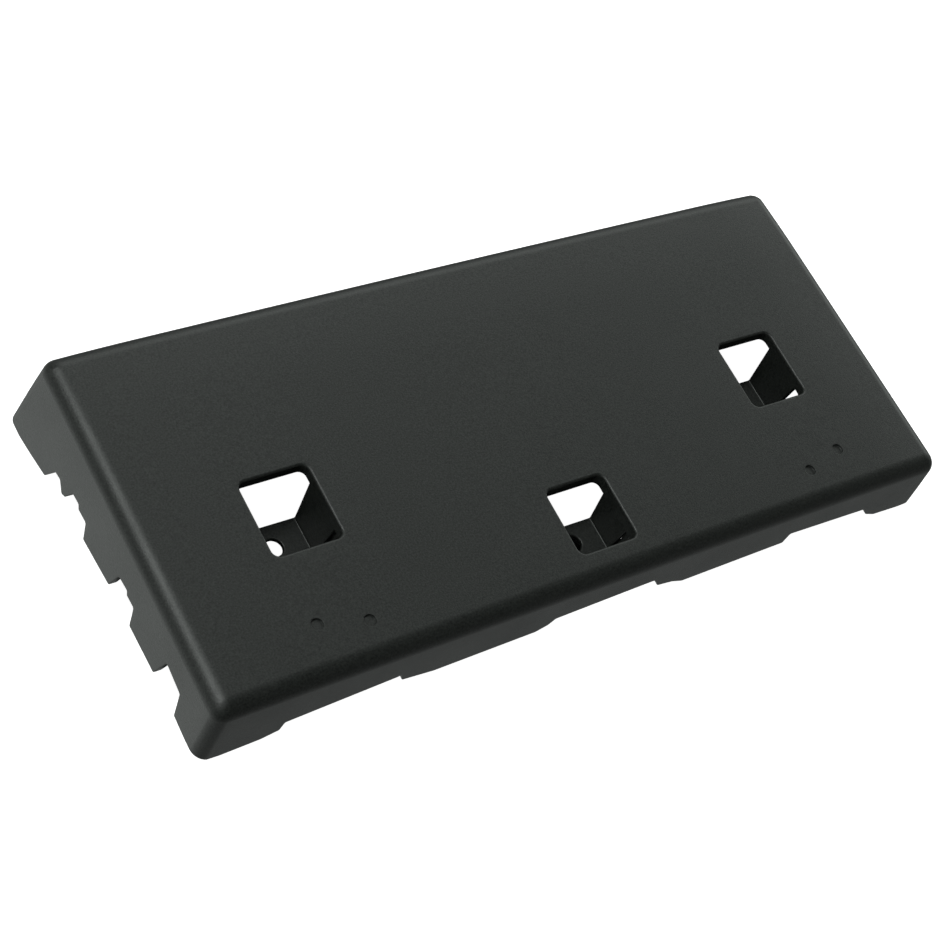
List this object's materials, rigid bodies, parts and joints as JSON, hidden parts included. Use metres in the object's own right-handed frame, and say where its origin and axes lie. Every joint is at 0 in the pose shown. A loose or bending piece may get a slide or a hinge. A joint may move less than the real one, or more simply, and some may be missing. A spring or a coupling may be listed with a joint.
{
  "type": "front licence plate bracket",
  "caption": "Moulded front licence plate bracket: flat face, flared skirt with a notched back edge, and recessed square pockets with bolt pads.",
  "frame": {"origin": "midway between the two side bolt holes, on the back faces of their pads", "axes": "+Z out of the flat face, away from the bumper; +X along the face; +Y towards the edge with the deeper skirt"},
  "size_m": [0.2956, 0.13, 0.0377],
  "materials": {
    "moulding": "fine grained matte"
  },
  "bodies": {
    "root": {"face_panel": "moulding", "lower_skirt": "moulding", "upper_skirt": "moulding", "left_skirt": "moulding", "right_skirt": "moulding", "lower_tabs": "moulding", "upper_tabs": "moulding", "left_tabs": "moulding", "right_tabs": "moulding", "lower_left_corner": "moulding", "lower_right_corner": "moulding", "upper_left_corner": "moulding", "upper_right_corner": "moulding", "left_pocket_walls": "moulding", "centre_pocket_walls": "moulding", "right_pocket_walls": "moulding", "left_pad": "moulding", "centre_pad": "moulding", "right_pad": "moulding", "long_rib": "moulding", "lower_ribs": "moulding", "cross_ribs": "moulding"}
  },
  "joints": []
}
